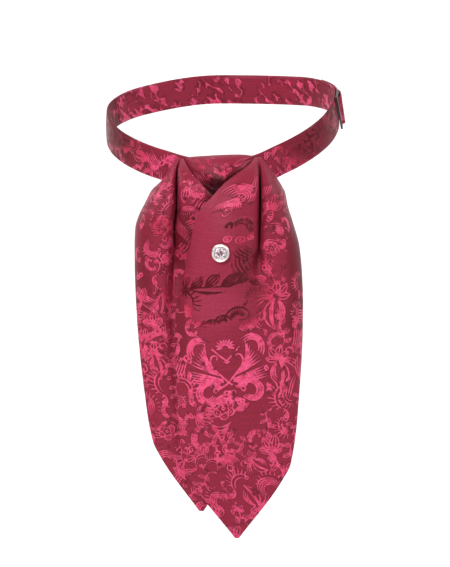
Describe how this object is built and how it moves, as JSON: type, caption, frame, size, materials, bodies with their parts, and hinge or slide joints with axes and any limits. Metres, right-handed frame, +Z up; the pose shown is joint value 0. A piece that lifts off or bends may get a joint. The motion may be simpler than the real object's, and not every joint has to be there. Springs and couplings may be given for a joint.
{
  "type": "silk cravat",
  "caption": "Day cravat tied flat over a high collar: narrow neckband with a slide, puffed wrap, two crossed pointed blades and a round jewelled pin.",
  "frame": {"origin": "middle of the neckband's ring, where the neck passes through it", "axes": "+Z up along the neck, +X towards the left side as worn, -Y towards the front; the blades hang in front of the chest at -Y"},
  "size_m": [0.1427, 0.1697, 0.2545],
  "materials": {
    "silk": "wine silk damask, satin figures on a fine ground",
    "slider": "black enamel",
    "pin_metal": "polished white metal",
    "crystal": "faceted clear stone on a bright backing"
  },
  "bodies": {
    "root": {"neckband_right": "silk", "neckband_left": "silk", "back_strap": "silk", "strap_return": "silk", "slider": "slider", "knot_wrap": "silk", "under_blade": "silk", "over_blade": "silk", "pin_setting": "pin_metal", "pin_stone": "crystal"}
  },
  "joints": []
}
